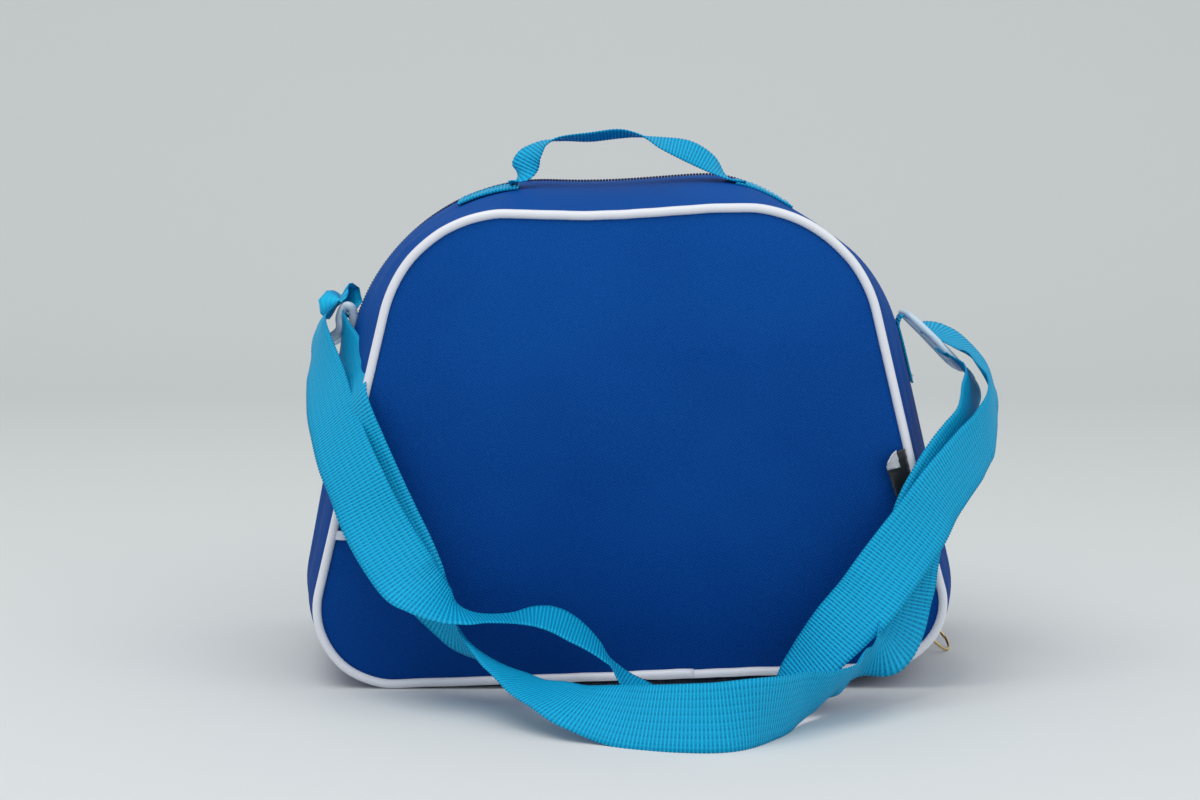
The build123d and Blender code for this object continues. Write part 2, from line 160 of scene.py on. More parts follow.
def rgb(red, green, blue):
    """A screen colour, 0 to 255, as the linear colour that a shader takes."""
    shares = [v / 255 for v in (red, green, blue)]
    return tuple(((s + 0.055) / 1.055) ** 2.4 if s > 0.04 else s / 12.92 for s in shares) + (1,)


class Finish:
    """A material with one Principled shader."""

    def __init__(self, name, colour, roughness, **fixed):
        self.material = bpy.data.materials.new(name)
        self.material.use_nodes = True
        self.tree = self.material.node_tree
        self.shader = self.tree.nodes["Principled BSDF"]
        self.set("Base Color", colour)
        self.set("Roughness", roughness)
        for socket, value in fixed.items():
            self.set(socket.replace("_", " "), value)

    def set(self, socket, value):
        """Gives the shader's socket a value or a link."""
        target = self.shader.inputs[socket]
        if isinstance(value, Link):
            self.tree.links.new(value.socket, target)
        else:
            target.default_value = value

    def add(self, kind, settings=None, values=None, output=0):
        """Adds a node, with its settings first and then its sockets, and returns one output."""
        node = self.tree.nodes.new(kind)
        for name, value in (settings or {}).items():
            setattr(node, name, value)
        for name, value in (values or {}).items():
            if isinstance(value, Link):
                self.tree.links.new(value.socket, node.inputs[name])
            else:
                node.inputs[name].default_value = value
        return Link(self, node.outputs[output])

    def place(self, scale=(1, 1, 1), turn=(0, 0, 0)):
        """The point in the bag's own frame, scaled and turned."""
        point = self.add("ShaderNodeTexCoord", output=3)
        return self.add("ShaderNodeMapping", {}, {"Vector": point, "Scale": scale, "Rotation": turn})

    def lay(self, scale=(1, 1, 1), turn=(0, 0, 0)):
        """The place across and along a cloth, in metres, scaled and turned."""
        point = self.add("ShaderNodeUVMap", {"uv_map": "lay"})
        return self.add("ShaderNodeMapping", {}, {"Vector": point, "Scale": scale, "Rotation": turn})

    def cloud(self, point, scale, detail=2.0, roughness=0.5):
        """Soft noise from 0 to 1."""
        return self.add("ShaderNodeTexNoise", {}, {"Vector": point, "Scale": scale, "Detail": detail,
                                                   "Roughness": roughness})

    def wave(self, point, scale, direction, profile="SIN"):
        """Even stripes from 0 to 1 across one direction."""
        settings = {"wave_type": "BANDS", "bands_direction": direction, "wave_profile": profile}
        return self.add("ShaderNodeTexWave", settings, {"Vector": point, "Scale": scale}, output=1)

    def mix(self, factor, a, b):
        """A colour between two others."""
        return self.add("ShaderNodeMix", {"data_type": "RGBA"}, {0: factor, 6: a, 7: b}, output=2)

    def bump(self, height, strength, distance):
        """Raises the surface where height is large."""
        values = {"Height": height, "Strength": strength, "Distance": distance}
        self.set("Normal", self.add("ShaderNodeBump", {}, values))
        return self


# %% [markdown]
# ## The blue cloth
# The case is cut from a plain woven polyester. Its threads are too fine to model, so two crossed sets
# of stripes raise it a little, laid at a slant across the cloth's own flat measures. A slow cloud varies
# the colour, the way a lightly creased cloth catches light, and painted light makes it paler higher up.

# %% Blue cloth
STRIPE = math.pi / 10  # a wave's scale for stripes one unit apart
WEAVE_PITCH = 1.3 * MM
WEAVE_SLANT = (0, 0, 0.62)


def blue_cloth(name, colour, pale):
    cloth = Finish(name, colour, 0.62, Specular_IOR_Level=0.04)
    place = cloth.place()
    slanted = cloth.lay(turn=WEAVE_SLANT)
    weft = cloth.wave(slanted, STRIPE / WEAVE_PITCH, "X")
    warp = cloth.wave(slanted, STRIPE / WEAVE_PITCH, "Y")
    threads = weft * warp
    slow = cloth.cloud(place, 9.0, 3.0)
    fine = cloth.cloud(place, 1100.0, 1.0)
    height = cloth.add("ShaderNodeSeparateXYZ", {}, {0: place}, output=2)
    # the height term is painted light: the cloth grows paler towards the top, as if lit from above
    mask = (slow - 0.5) * 0.7 + (threads - 0.25) * 0.9 + (fine - 0.5) * 0.9 + height * 2.2
    cloth.set("Base Color", cloth.mix(mask, colour, pale))
    cloth.set("Roughness", 0.54 + slow * 0.14)
    return cloth.bump(threads * 0.6 + fine * 0.4, 0.45, 0.0004)


BLUE = blue_cloth("blue_polyester", rgb(2, 56, 128), rgb(16, 82, 162))
print("cloth:", BLUE.material.name)

# %% [markdown]
# ## The light blue webbing
# Webbing is woven with thick cross ribs and fine columns along its length. The material draws both
# from the webbing's lay, which is how far each point is across and along, and every second column is
# shifted by half a rib. The teeth that the ribs leave on the edges are geometry.

# %% Webbing


def webbing(name, colour, shade, pale):
    cloth = Finish(name, colour, 0.5, Specular_IOR_Level=0.16)
    lay = cloth.lay()
    columns = cloth.wave(lay, STRIPE / COLUMN, "X")
    ribs = cloth.wave(lay, STRIPE / RIB_PITCH, "Y")
    pairs = cloth.wave(lay, STRIPE / COLUMN / 2, "X")
    every_other = pairs.math("GREATER_THAN", pairs, 0.5)
    crossed = every_other * ribs + (1 - every_other) * (1 - ribs)
    woven = ribs * 0.8 + crossed * 0.2
    yarn = cloth.cloud(cloth.lay(scale=(1, 0.35, 1)), 2400.0, 1.0)
    slow = cloth.cloud(cloth.place(), 14.0, 2.0)
    # the rib crests are painted paler and the hollows between them darker: painted light and shade on the
    # ribs
    mask = woven * 0.95 + columns * 0.1 + (yarn - 0.5) * 0.5
    cloth.set("Base Color", cloth.mix(mask, cloth.mix(slow, shade, colour), pale))
    cloth.set("Roughness", 0.45 + yarn * 0.2)
    return cloth.bump(woven * 0.8 + columns * 0.15 + yarn * 0.2, 0.9, 0.0009)


RIB_PITCH = 2.1 * MM
COLUMN = 2.1 * MM
CYAN = webbing("cyan_webbing", rgb(0, 130, 188), rgb(0, 114, 172), rgb(14, 188, 232))
print(f"webbing: ribs {RIB_PITCH / MM:.1f} mm apart")

# %% [markdown]
# ## Other finishes
# The rest are plain: one colour, a fine grain that varies the roughness, and a slight relief. Metal,
# satin and the milky plastic differ only in a few constant sockets.

# %% Other finishes


def plain(name, colour, roughness, grain=0.0, scale=600.0, **fixed):
    """A moulded or metal finish with a fine grain."""
    made = Finish(name, colour, roughness, **fixed)
    cloud = made.cloud(made.place(), scale, 2.0)
    made.set("Roughness", cloud * 0.16 + (roughness - 0.08))
    return made.bump(cloud, grain, 0.0003) if grain else made


WHITE = plain("piping_white", rgb(222, 224, 231), 0.38, 0.12, 500.0, Coat_Weight=0.15)
NAVY = plain("zip_navy", rgb(14, 34, 92), 0.42, 0.2)
TAPE = plain("zip_tape_navy", rgb(10, 32, 92), 0.75, 0.5, 1500.0)
BRASS = plain("worn_brass", rgb(222, 194, 138), 0.28, 0.1, 900.0, Metallic=1.0)
MILKY = plain("milky_plastic", rgb(212, 232, 244), 0.35, 0.05, 200.0, Alpha=0.78)
SATIN = plain("black_satin", rgb(16, 17, 20), 0.36, 0.15, 1400.0, Sheen_Weight=0.2)
SATIN_BACK = plain("satin_back", rgb(206, 208, 212), 0.5, 0.2, 1400.0)
TAG = plain("pale_tape", rgb(196, 204, 220), 0.6, 0.3, 1400.0)
LINING = plain("lining_cloth", rgb(30, 34, 44), 0.7, 0.4, 1200.0)
BOARD = plain("base_board_sheet", rgb(44, 45, 48), 0.55, 0.2, 300.0)
FOAM = plain("ring_foam", rgb(38, 39, 42), 0.9, 0.8, 700.0)
print("materials:", len(bpy.data.materials))

# %% [markdown]
# ## Making a piece
# Every soft piece is a grid of points, row after row. `grid_faces` joins the rows and can close them
# round, `new_piece` makes the mesh and lets it ride on its body, and `thicken` gives it thickness.

# %% Mesh helpers


def new_piece(name, points, faces, finish, body, uv=None):
    """A smooth mesh object that rides on a body."""
    mesh = bpy.data.meshes.new(name)
    mesh.from_pydata([tuple(p) for p in points], [], faces)
    mesh.validate()
    if uv:
        layer = mesh.uv_layers.new(name="lay")
        for loop in mesh.loops:
            layer.data[loop.index].uv = uv[loop.vertex_index]
    mesh.polygons.foreach_set("use_smooth", [True] * len(mesh.polygons))
    piece = bpy.data.objects.new(name, mesh)
    bpy.context.scene.collection.objects.link(piece)
    piece.data.materials.append(finish.material)
    if body:
        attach(piece, body)
    return piece


def grid_faces(rows, columns, closed=False, flip=False):
    """Quads between the rows of a grid of points."""
    faces = []
    for i in range(rows - 1):
        for j in range(columns if closed else columns - 1):
            a, b = i * columns + j, i * columns + (j + 1) % columns
            quad = (a, b, b + columns, a + columns)
            faces.append(tuple(reversed(quad)) if flip else quad)
    return faces


def shown(piece):
    """Applies the piece's modifiers to its mesh."""
    done = bpy.data.meshes.new_from_object(piece.evaluated_get(bpy.context.evaluated_depsgraph_get()))
    piece.modifiers.clear()
    piece.data = done
    return piece


def thicken(piece, thickness, offset=-1.0):
    """Gives a sheet its thickness."""
    solid = piece.modifiers.new("thickness", "SOLIDIFY")
    solid.thickness, solid.offset = thickness, offset
    solid.use_even_offset = False
    return shown(piece)


# %% [markdown]
# ## How the cloth settles
# The seams aren't drawn with a ruler: the crest dips a little left of the middle and stands up on the
# right, the right shoulder hangs lower, and the back seam rises to the right along the floor. `settle`
# moves every point of the case by the same small amounts, so that panel, piping and gusset stay
# together.

# %% Settle
CREST_UP, CREST_DOWN = 3.0 * MM, 1.6 * MM
SHOULDER_DOWN, SHOULDER_IN = 6.5 * MM, 4.5 * MM
SEAM_RISE = 10 * MM


def hill(value, centre, width):
    """A smooth bump of height 1."""
    return math.exp(-((value - centre) / width) ** 2)


def share(value, start, end):
    """0 up to start, 1 from end on, and even between them."""
    return max(0.0, min(1.0, (value - start) / (end - start)))


def fullness(y):
    """How far the gusset is from its seam outline to its middle one, 0 to 1."""
    return 1 - (y / SEAM_Y) ** 2


def settle(x, y, z):
    """The point, moved the way the sewn cloth settles."""
    high = share(z, 180 * MM, 270 * MM)
    full = fullness(y)
    crest = CREST_UP * hill(x, 62 * MM, 42 * MM) - CREST_DOWN * hill(x, -28 * MM, 40 * MM)
    shoulder = SHOULDER_DOWN * hill(x, 118 * MM, 34 * MM) * high * full
    inwards = SHOULDER_IN * share(x, 0, 110 * MM) * share(z, 120 * MM, 210 * MM) * full
    low = max(0.0, 1 - z / (80 * MM)) * max(0.0, -y / SEAM_Y) ** 3
    rise = SEAM_RISE * share(x, -140 * MM, 140 * MM) * low
    return Vector((x - inwards, y, z + crest * high * high - shoulder + rise))


def creases(x, y, z, size):
    """Soft, slow creases, up to about one size up or down."""
    point = Vector((x * 14, y * 14, z * 9))
    return size * (noise.noise(point) + 0.45 * noise.noise(point * 2.7))


print(f"middle of the crest settles by {settle(0, 0, MID_TOP).z / MM - MID_TOP / MM:.1f} mm")


# %% [markdown]
# ## Panels
# A panel is one crowned sheet. Rings shrink from the seam towards the middle: the outermost ring turns
# down into the seam beside the piping, the next few are tight, and inside them the sheet swells out
# softly with slow creases.

# %% Panels
CROWN = 9.0 * MM
EDGE_GAP = PIPING_R * 0.55
CLOTH = 1.3 * MM
PANEL_RINGS = 44


def panel(name, side, body):
    """side is -1 for the back panel and 1 for the front one."""
    centre = Vector((0, (SEAM_LOW + SEAM_TOP) / 2))
    rings = [(1.0, 1.6), (1.0, 0.4), (0.998, -0.4)]
    rings += [(0.995 - 0.995 * (k / PANEL_RINGS) ** 1.15, None) for k in range(1, PANEL_RINGS)]
    points = []
    for shrink, drop in rings:
        for (p, out) in piped:
            edge = p - out * EDGE_GAP
            x, z = centre + (edge - centre) * shrink
            if drop is None:
                swell = CROWN * (1 - shrink ** 3.2) ** 0.9
                inner = 1 - shrink ** 8
                height = 0.4 * MM + swell + creases(x + side, 0.3, z, 0.9 * MM) * inner
            else:
                height = -drop * MM
            point = settle(x, side * SEAM_Y, z)
            points.append((point.x, side * (SEAM_Y + height), point.z))
    faces = grid_faces(len(rings), AROUND, closed=True, flip=side > 0)
    hub = len(points)
    top = sum((Vector(p) for p in points[-AROUND:]), Vector()) / AROUND
    points.append(top)
    first = hub - AROUND
    for j in range(AROUND):
        a, b = first + j, first + (j + 1) % AROUND
        faces.append((a, b, hub) if side < 0 else (b, a, hub))
    flat = [(p[0], p[2]) for p in points]
    piece = thicken(new_piece(name, points, faces, BLUE, body, flat), CLOTH)
    print(f"{name}: {len(rings)} rings of {AROUND} points")
    return piece


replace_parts(panel("back_panel_cloth", -1, "bag"), "back_panel")
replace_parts(panel("front_panel_cloth", 1, "front_cover"), "front_panel")

# %% [markdown]
# ## Gusset
# The gusset is the strip between the seams. It bulges from the seam's outline to the fuller one in the
# middle, so each point lies between the two outlines, and the edge along the zip is folded under.

# %% Gusset
SEAM_TURN = 1.2 * MM
GUSSET_ROWS = 40


def on_gusset(j, y, lift=0.0):
    """The point of the gusset at step j round the outline and depth y, raised by lift."""
    (a, out_a), (b, out_b) = seam[j % AROUND], middle[j % AROUND]
    full = fullness(y)
    x, z = a + (b - a) * full + (out_a + (out_b - out_a) * full).normalized() * lift
    return settle(x, y, z)


def gusset_creases(j, y, z):
    """Wrinkles that run down the sides of the gusset, none on the base."""
    _, out = seam[j % AROUND]
    upright = abs(out.x) ** 0.5 * share(z, 6 * MM, 36 * MM)
    edge = min(1.0, (SEAM_Y - abs(y)) / (14 * MM)) * min(1.0, abs(y) / (12 * MM))
    down = noise.noise(Vector((y * 42, out.x * 3 + 7, z * 4))) * 2.0
    slow = noise.noise(Vector((y * 16, out.x * 2 - 3, z * 11))) * 1.6
    tab = 1 - hill(y, -20 * MM, 30 * MM) * hill(z, 200 * MM, 45 * MM)
    return (down + slow) * MM * upright * edge * tab


def gusset(name, side, body):
    """One half of the gusset, from the seam to the zip."""
    reach = SEAM_Y - SLOT_HALF
    rows = [("seam", 2.0 * MM, -1.6 * MM), ("seam", SEAM_TURN, -0.5 * MM)]
    for k in range(GUSSET_ROWS + 1):
        rows.append(("open", SEAM_TURN + k / GUSSET_ROWS * (reach - SEAM_TURN), 0.0))
    rows += [("fold", reach - 0.2 * MM, -0.9 * MM), ("fold", reach - 2.5 * MM, -1.5 * MM)]
    around = [0.0]
    for (p, _), (q, _) in zip(middle, middle[1:]):
        around.append(around[-1] + (q - p).length)
    points, flat_lay = [], []
    for kind, inwards, lift in rows:
        for j in range(AROUND):
            y = SEAM_Y - inwards
            below_zip = seam[j][0].y <= ZIP_END_Z
            if below_zip and kind != "seam":
                y = max(0.0, y - SLOT_HALF) if kind == "open" else 0.0
            y *= side
            point = on_gusset(j, y, lift)
            if kind == "open":
                _, out = middle[j]
                point += Vector((out.x, 0, out.y)) * gusset_creases(j, y, point.z)
            points.append(point)
            flat_lay.append((around[j], y))
    faces = grid_faces(len(rows), AROUND, closed=True, flip=side < 0)
    piece = thicken(new_piece(name, points, faces, BLUE, body, flat_lay), CLOTH)
    return piece


back_gusset = gusset("back_gusset", -1, "bag")
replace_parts(back_gusset, "back_strip", "base_strip")
front_gusset = gusset("front_gusset", 1, None)
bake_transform(front_gusset)
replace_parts(front_gusset, "front_strip")
print("gusset halves:", back_gusset.name, front_gusset.name)

# %% [markdown]
# ## Piping
# The piping is a cord in a white cover. One tube follows the seam, and its two ends cross low on the
# panel, where one dives under the other.

# %% Piping
PIPING_END_X = 23 * MM


def tube(name, path, radius, finish, body, closed=False, sides=14):
    """A round tube along a path of points."""
    count = len(path)
    points = []
    for i, here in enumerate(path):
        ahead = path[(i + 1) % count] if closed or i < count - 1 else here
        behind = path[i - 1] if closed or i > 0 else here
        along = (ahead - behind).normalized()
        across = Vector((0, 1, 0)).cross(along).normalized()
        up = along.cross(across)
        for k in range(sides):
            angle = math.tau * k / sides
            points.append(here + (across * math.cos(angle) + up * math.sin(angle)) * radius)
    rows = grid_faces(count, sides, closed=True)
    if closed:
        last = (count - 1) * sides
        rows += [(last + k, last + (k + 1) % sides, (k + 1) % sides, k) for k in range(sides)]
    else:
        rows += [tuple(reversed(range(sides))), tuple((count - 1) * sides + k for k in range(sides))]
    return new_piece(name, points, rows, finish, body)


def piping(name, side, body):
    """Starts and ends at the crossing low on the panel."""
    start = min(range(AROUND), key=lambda j: (piped[j][0] - Vector((PIPING_END_X, SEAM_LOW))).length)
    path = []
    for k in range(-3, AROUND + 4):
        (x, z), _ = piped[(start + k) % AROUND]
        point = settle(x, side * SEAM_Y, z)
        overlap = max(0.0, 1 - abs(k - AROUND - 1) / 7) - 0.6 * max(0.0, 1 - abs(k + 1) / 7)
        wobble = 0.35 * MM * noise.noise(Vector((x * 60, 5, z * 60)))
        point += Vector((0, side * (overlap * 1.6 * MM + 0.8 * MM), wobble + overlap * 0.9 * MM))
        path.append(point)
    piece = tube(name, path, PIPING_R, WHITE, body)
    return piece


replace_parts(piping("back_piping_cord", -1, "bag"), "back_piping")
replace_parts(piping("front_piping_cord", 1, "front_cover"), "front_piping")
print(f"piping: {2 * PIPING_R / MM:.1f} mm thick")

# %% [markdown]
# ## Zip
# A coil zip is a nylon wire wound along the edge of each tape. Each turn shows as a small ridge, so
# the row is made of short rounded bars, one every two millimetres, laid along the gusset's middle.

# %% Zip
TOOTH_PITCH = 2.0 * MM
TOOTH_HALF = TOOTH_PITCH * 0.36
TOOTH_SIDE = ((0.35, -0.9), (0.35, -0.2), (0.85, 0.35), (3.2, 0.1), (3.2, -1.3))
TAPE_SIDE = ((0.3, -1.6), (3, -1.8), (7, -2.4), (14, -2.4))


def zip_path(y, lift, low):
    """Points along the zip, up the right side, over the crest and down the left."""
    points = [on_gusset(j, y, lift) for j in range(AROUND)]
    return [p for p, (s, _) in zip(points, seam) if s.y > low or p.z > low]


def even(path, step):
    """Points spaced evenly along a path, with the direction at each."""
    spots, travelled, wanted = [], 0.0, 0.0
    for a, b in zip(path, path[1:]):
        length = (b - a).length
        while length and wanted <= travelled + length:
            spots.append((a.lerp(b, (wanted - travelled) / length), (b - a).normalized()))
            wanted += step
        travelled += length
    return spots


def coil_row(name, side, body, low):
    """One row of the zip as rounded bars."""
    points, faces = [], []
    for spot, along in even(zip_path(0.0, 0.0, low), TOOTH_PITCH):
        out = along.cross(Vector((0, 1, 0))).normalized()
        shift = along * (side * TOOTH_PITCH * 0.25)
        base = len(points)
        for y, rise in TOOTH_SIDE:
            for edge in (-TOOTH_HALF, TOOTH_HALF):
                points.append(spot + shift + along * edge + out * rise * MM + Vector((0, side * y * MM, 0)))
        faces += [(base + 2 * k, base + 2 * k + 1, base + 2 * k + 3, base + 2 * k + 2) for k in range(4)]
        faces.append((base + 8, base + 9, base + 1, base))
        faces += [tuple(base + k for k in (0, 2, 4, 6, 8)), tuple(base + k for k in (9, 7, 5, 3, 1))]
    piece = new_piece(name, points, faces, NAVY, body)
    bevel = piece.modifiers.new("round", "BEVEL")
    bevel.width, bevel.segments = 0.28 * MM, 2
    return shown(piece)


def tape(name, side, body, low):
    """Woven tape under the row and the gusset's folded edge."""
    lines = [zip_path(side * y * MM, lift * MM, low) for y, lift in TAPE_SIDE]
    count = min(len(line) for line in lines)
    points = [p for line in lines for p in line[:count]]
    piece = thicken(new_piece(name, points, grid_faces(4, count), TAPE, body), 0.6 * MM, 0.0)
    return piece


front_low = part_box("front_zip_coil")[0][2]
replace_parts(coil_row("back_coil_row", -1, "bag", ZIP_END_Z), "back_zip_coil")
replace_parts(coil_row("front_coil_row", 1, "front_cover", front_low), "front_zip_coil")
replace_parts(tape("back_tape_cloth", -1, "bag", ZIP_END_Z), "back_zip_tape")
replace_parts(tape("front_tape_cloth", 1, "front_cover", front_low), "front_zip_tape")
print(f"zip: from {ZIP_END_Z / MM:.0f} mm over the crest, one tooth each {TOOTH_PITCH / MM:.0f} mm")

# %% [markdown]
# ## Webbing bands
# A band of webbing is drawn through a few stations, each a point on its middle line and the direction
# of one edge from there. A smooth curve runs through the stations, and the cross ribs swell and
# shrink the section along it, which also gives the edges their small teeth.

# %% Bands
QUARTERS = 4  # rows of points for each rib
TOOTH_DEPTH = 0.35 * MM


def smooth(stations, step):
    """Points and edge directions every step along a smooth curve through the stations."""
    centres = [Vector(c) * MM for c, _ in stations]
    edges = [Vector(e).normalized() for _, e in stations]
    fine = []
    for i in range(len(centres) - 1):
        picks = [max(0, i - 1), i, i + 1, min(len(centres) - 1, i + 2)]
        for k in range(24):
            t = k / 24
            weights = (-0.5 * t + t * t - 0.5 * t ** 3, 1 - 2.5 * t * t + 1.5 * t ** 3,
                       0.5 * t + 2 * t * t - 1.5 * t ** 3, -0.5 * t * t + 0.5 * t ** 3)
            centre = sum((centres[p] * w for p, w in zip(picks, weights)), Vector())
            edge = sum((edges[p] * w for p, w in zip(picks, weights)), Vector())
            fine.append((centre, edge.normalized()))
    fine.append((centres[-1], edges[-1]))
    spots, travelled, wanted = [], 0.0, 0.0
    for (a, ea), (b, eb) in zip(fine, fine[1:]):
        length = (b - a).length
        while length and wanted <= travelled + length:
            t = (wanted - travelled) / length
            spots.append((a.lerp(b, t), ea.lerp(eb, t), (b - a).normalized()))
            wanted += step
        travelled += length
    return spots, travelled


def band(name, stations, width, thick, body):
    """A ribbed band, with its true length."""
    step = RIB_PITCH / QUARTERS
    spots, length = smooth(stations, step)
    across = 10
    points, lay = [], []
    for i, (centre, edge, along) in enumerate(spots):
        edge = (edge - along * edge.dot(along)).normalized()
        face = along.cross(edge)
        swell = 0.5 + 0.5 * math.cos(math.tau * i / QUARTERS)
        half_w = width / 2 - TOOTH_DEPTH * (1 - swell)
        for side in (1, -1):
            for k in range(across + 1):
                u = (k / across * 2 - 1) * side
                ribbed = 0.72 + 0.28 * (0.5 + (swell - 0.5) * u ** 4)
                thin = thick / 2 * ribbed * (1 - 0.55 * abs(u) ** 10)
                points.append(centre + edge * (u * half_w) + face * (thin * side))
                lay.append((u * half_w, i * step))
    ring = 2 * (across + 1)
    faces = grid_faces(len(spots), ring, closed=True)
    faces += [tuple(reversed(range(ring))), tuple((len(spots) - 1) * ring + k for k in range(ring))]
    piece = new_piece(name, points, faces, CYAN, body, lay)
    print(f"{name}: {length / MM:.0f} mm long, {len(points)} points")
    return piece, length


# %% [markdown]
# ## Shoulder strap
# The strap is one webbing laid double between the two fittings. It comes forward round the bag's
# corners and twists where it folds, and both layers hang down to the floor in front. The stations of
# each layer run from the left fitting to the right one, in millimetres.

# %% Shoulder strap
STRAP_WIDTH = 38 * MM
STRAP_THICK = 1.5 * MM
FRONT_LAYER = [
    ((-180.5, -18, 221.5), (0.02, -0.99, 0)),
    ((-180.5, -19, 225.5), (0.02, -0.99, 0.02)),
    ((-183, -21, 229.5), (0.06, -0.99, 0.06)),
    ((-185, -25, 226.5), (0.25, -0.95, 0.15)),
    ((-190, -30, 221), (0.22, -0.96, 0.12)),
    ((-194, -42, 210), (0.22, -0.97, 0.12)),
    ((-192, -60, 196), (0.44, -0.88, 0.15)),
    ((-186, -82, 181), (0.64, -0.73, 0.24)),
    ((-179, -105, 164), (0.76, -0.59, 0.27)),
    ((-170, -125, 144), (0.86, -0.4, 0.32)),
    ((-161, -137, 127), (0.86, -0.24, 0.42)),
    ((-152, -145, 109), (0.86, -0.04, 0.47)),
    ((-141, -154, 92), (0.84, 0.18, 0.45)),
    ((-129, -163, 77), (0.62, 0.4, 0.55)),
    ((-119, -167, 69), (0.45, 0.7, 0.45)),
    ((-109, -168, 62), (0.27, 0.9, 0.28)),
    ((-100, -167, 57), (0.12, 0.98, 0.06)),
    ((-88, -164, 53.5), (0, 1, -0.06)),
    ((-71, -161, 52.5), (0, 1, -0.04)),
    ((-58, -160, 53.5), (0.03, 0.98, 0.1)),
    ((-50, -160, 53), (0.11, 0.97, 0.15)),
    ((-42, -160, 50.5), (0.15, 0.96, 0.16)),
    ((-34, -160, 46), (0.17, 0.95, 0.13)),
    ((-26, -160, 40.5), (0.15, 0.97, 0.05)),
    ((-18, -160, 33.5), (0.1, 0.98, -0.05)),
    ((-12, -160, 26.5), (0.04, 0.98, -0.14)),
    ((-4, -161, 17.5), (0.22, 0.96, -0.12)),
    ((8, -163, 8.5), (0.3, 0.94, 0.05)),
    ((24, -165, 3.5), (0.12, 0.99, 0.04)),
    ((48, -166, 1.6), (0, 1, 0)),
    ((72, -168, 3.2), (-0.05, 1, 0.02)),
    ((87, -170, 11), (-0.25, 0.95, 0.1)),
    ((98, -170, 23), (-0.5, 0.85, 0.15)),
    ((110, -171, 37), (-0.63, 0.7, 0.3)),
    ((122, -169, 50), (-0.7, 0.5, 0.4)),
    ((136, -164, 64), (-0.79, 0.35, 0.45)),
    ((147, -158, 77), (-0.78, 0.2, 0.53)),
    ((159, -150, 91), (-0.77, 0.02, 0.6)),
    ((171, -141, 105), (-0.74, -0.15, 0.62)),
    ((182, -130, 119), (-0.72, -0.4, 0.5)),
    ((194, -117, 131), (-0.7, -0.54, 0.42)),
    ((206, -103, 142), (-0.67, -0.66, 0.3)),
    ((216, -90, 152), (-0.55, -0.8, 0.18)),
    ((222.5, -76, 163), (-0.34, -0.92, 0.15)),
    ((224.5, -62, 174), (-0.2, -0.97, 0.05)),
    ((222, -49, 185), (-0.2, -0.97, -0.03)),
    ((217, -38, 195), (-0.15, -0.97, -0.15)),
    ((206, -29, 205), (-0.1, -0.96, -0.25)),
    ((196, -24, 210.5), (-0.05, -0.96, -0.25)),
    ((186, -22, 213), (0, -0.98, -0.15)),
]
REAR_LAYER = [
    ((-180.5, -24, 214), (0.02, -1, 0.02)),
    ((-180.5, -33, 209), (0.08, -0.99, 0.05)),
    ((-179, -47, 202), (0.25, -0.95, 0.1)),
    ((-175.5, -65, 194), (0.45, -0.88, 0.13)),
    ((-172, -86, 184), (0.52, -0.83, 0.17)),
    ((-168, -110, 171), (0.62, -0.74, 0.26)),
    ((-161, -122, 149), (0.78, -0.45, 0.38)),
    ((-152, -129, 127), (0.84, -0.3, 0.42)),
    ((-142.5, -134, 106), (0.87, -0.2, 0.42)),
    ((-133.5, -137, 89), (0.86, -0.25, 0.42)),
    ((-127, -138, 77), (0.82, -0.4, 0.4)),
    ((-121.5, -139, 66), (0.76, -0.52, 0.34)),
    ((-115, -142, 56.5), (0.68, -0.66, 0.3)),
    ((-108, -146, 48), (0.55, -0.78, 0.25)),
    ((-101, -152, 41.5), (0.4, -0.88, 0.22)),
    ((-93, -160, 36.5), (0.22, -0.95, 0.2)),
    ((-83, -171, 32), (0.02, -0.98, 0.17)),
    ((-71, -185, 27), (-0.16, -0.98, 0.06)),
    ((-59, -198, 22.5), (-0.2, -0.96, -0.04)),
    ((-45, -213, 20), (-0.2, -0.94, -0.2)),
    ((-31, -226, 17), (-0.15, -0.88, -0.42)),
    ((-14, -236, 15), (-0.1, -0.74, -0.64)),
    ((3, -247, 15.2), (-0.03, -0.6, -0.78)),
    ((25, -256, 16.8), (0, -0.46, -0.87)),
    ((47, -259, 18), (0, -0.3, -0.94)),
    ((65, -253, 18.9), (0.03, -0.02, -0.99)),
    ((82, -237, 18), (0.05, 0.36, -0.93)),
    ((96, -217, 17.5), (0.1, 0.66, -0.74)),
    ((109, -203, 19), (0.15, 0.85, -0.5)),
    ((121, -190, 23), (0.2, 0.95, -0.25)),
    ((130, -178, 28), (0.35, 0.93, -0.12)),
    ((141, -168, 34), (0.55, 0.8, -0.15)),
    ((150, -159, 39), (0.78, 0.45, -0.36)),
    ((156, -151, 49), (0.82, 0.25, -0.42)),
    ((159, -147, 63), (0.82, 0.16, -0.48)),
    ((162, -146.5, 80), (0.8, 0.12, -0.5)),
    ((167, -140, 97), (0.8, 0.18, -0.52)),
    ((173, -131, 111), (0.8, 0.26, -0.5)),
    ((181, -121, 124), (0.78, 0.42, -0.42)),
    ((189, -110, 135), (0.72, 0.58, -0.3)),
    ((198, -97, 146), (0.62, 0.75, -0.18)),
    ((206, -84, 157), (0.48, 0.87, -0.05)),
    ((211, -69, 168), (0.38, 0.92, 0)),
    ((213, -53, 180), (0.2, 0.98, 0)),
    ((209, -39, 189), (0.15, 0.98, 0)),
    ((202, -30, 195), (0.1, 0.99, 0)),
]


def strap_layer(name, stations, node):
    piece, length = band(name, stations, STRAP_WIDTH, STRAP_THICK, "shoulder_strap")
    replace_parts(piece, node)


strap_layer("strap_front", FRONT_LAYER, "strap_front_layer")
strap_layer("strap_rear", REAR_LAYER, "strap_rear_layer")
